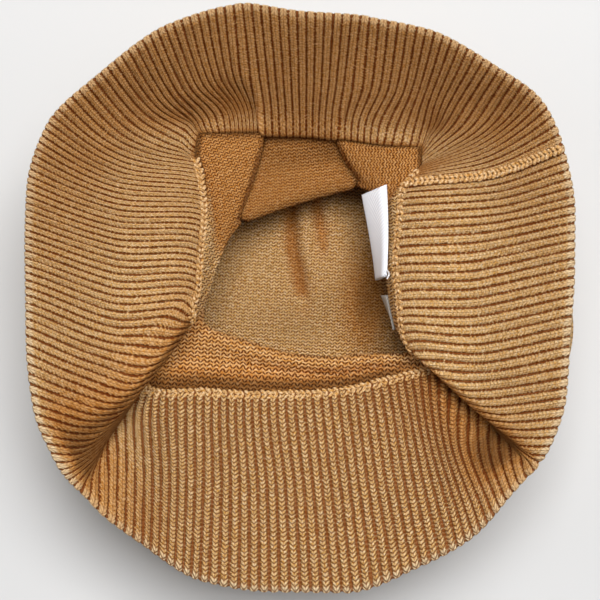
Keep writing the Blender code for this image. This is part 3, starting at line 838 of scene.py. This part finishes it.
def care_label():
    """The long white label, sewn to the join at +X; it leans in at its +Y end and hangs at the other."""
    share = np.linspace(0, 1, 30)[:, None]
    sewn = np.array([26.9, 36.0, 49.0]) + np.array([-0.2, -28.6, 0.0]) * share
    sewn = sewn + np.array([0.5, 0, 0]) * np.sin(math.pi * share)
    lean = np.array([-0.66, -0.25, -0.73]) * (1 - share) + np.array([-0.22, -0.1, -0.97]) * share
    return label_loop("care_label_loop", sewn, lean, 11.2, 0.8 + 0.9 * share[:, 0] ** 3, label_finish)


def size_label():
    """The small label below it, of which one corner shows past the fold; its greyish white tape is painted
    darker grey as painted shade.
    """
    share = np.linspace(0, 1, 14)[:, None]
    sewn = np.array([27.9, 1.5, 38.0]) + np.array([1.9, -11.0, 0.0]) * share
    lean = np.array([-0.15, 0.0, -0.99]) * (1 - share) + np.array([0.14, 0.0, -0.99]) * share
    return label_loop("size_label_loop", sewn, lean, 10.4, np.full(14, 0.8), size_finish)


def thread_tail():
    """The snipped end of the white thread that holds the care label."""
    curve = bpy.data.curves.new("thread_tail", "CURVE")
    curve.dimensions = "3D"
    curve.bevel_depth = 0.28 * MM
    curve.bevel_resolution = 3
    curve.use_fill_caps = True
    spline = curve.splines.new("BEZIER")
    spots = [(27.2, 9.2, 49.8), (27.6, 8.4, 51.0), (27.5, 7.6, 52.2), (27.0, 6.6, 52.0)]
    spline.bezier_points.add(len(spots) - 1)
    for point, spot in zip(spline.bezier_points, spots):
        point.co = [value * MM for value in spot]
        point.handle_left_type = point.handle_right_type = "AUTO"
    curve.materials.append(thread_finish)
    return settled(put("thread_tail_curve", curve), "thread_tail")


ribbed = band()
knitted = crown()
linked = linking_braid()
seamed = seam_braid()
care = care_label()
size = size_label()
tail = thread_tail()

for piece, node, body in ((ribbed, "rib_band", "hat"), (knitted, "crown", "hat"),
                          (linked, "linking_row", "hat"), (seamed, "band_seam", "hat"),
                          (care, "care_label", "care_label"), (size, "size_label", "size_label"),
                          (tail, "label_thread", "hat")):
    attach(piece, body)
    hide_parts(node)

# ---- Floor, light and camera -----------------------------------------------------------------------------


def pale_paper():
    """Matt pale paper, which gives the eye only the soft shadow of the hat."""
    material, tree = fresh("pale_paper")
    shader = add(tree, "ShaderNodeBsdfPrincipled",
                 {"Base Color": linear(PAPER), "Roughness": 1.0, "Specular IOR Level": 0.0})
    add(tree, "ShaderNodeOutputMaterial", {"Surface": shader})
    return material


def floor_sheet():
    mesh = bpy.data.meshes.new("floor")
    mesh.from_pydata([(-3, -3, 0), (3, -3, 0), (3, 3, 0), (-3, 3, 0)], [], [(0, 1, 2, 3)])
    mesh.materials.append(pale_paper())
    put("floor", mesh)


def softbox(name, place, target, width, length, power):
    """A soft rectangular lamp in watts, aimed at a target."""
    data = bpy.data.lights.new(name, "AREA")
    data.shape = "RECTANGLE"
    data.size = width
    data.size_y = length
    data.energy = power
    light = put(name, data)
    light.location = place
    aim = np.array(target, float) - np.array(place, float)
    light.rotation_euler = Vector(aim).to_track_quat("-Z", "Y").to_euler()


floor_sheet()
softbox("overhead", (0.10, 0.31, 1.25), (0, 0, 0), 0.6, 0.5, 19.2)
softbox("side_left", (-1.1, 0.1, 0.9), (0, 0, 0.05), 0.6, 0.6, 2.0)
softbox("side_right", (1.1, 0.1, 0.9), (0, 0, 0.05), 0.6, 0.6, 2.0)
world = bpy.data.worlds.new("studio")
world.use_nodes = True
world.node_tree.nodes["Background"].inputs["Color"].default_value = (1, 1, 1, 1)
world.node_tree.nodes["Background"].inputs["Strength"].default_value = 0.18
bpy.context.scene.world = world
bpy.context.scene.view_settings.view_transform = "Standard"

lens = bpy.data.cameras.new("camera")
lens.angle = math.radians(20.0)
lens.clip_start = 0.01
# Straight above the hat, at arm's length.
camera = put("camera", lens)
camera.location = (0, 0, 0.580)
bpy.context.scene.camera = camera

bpy.context.view_layer.update()
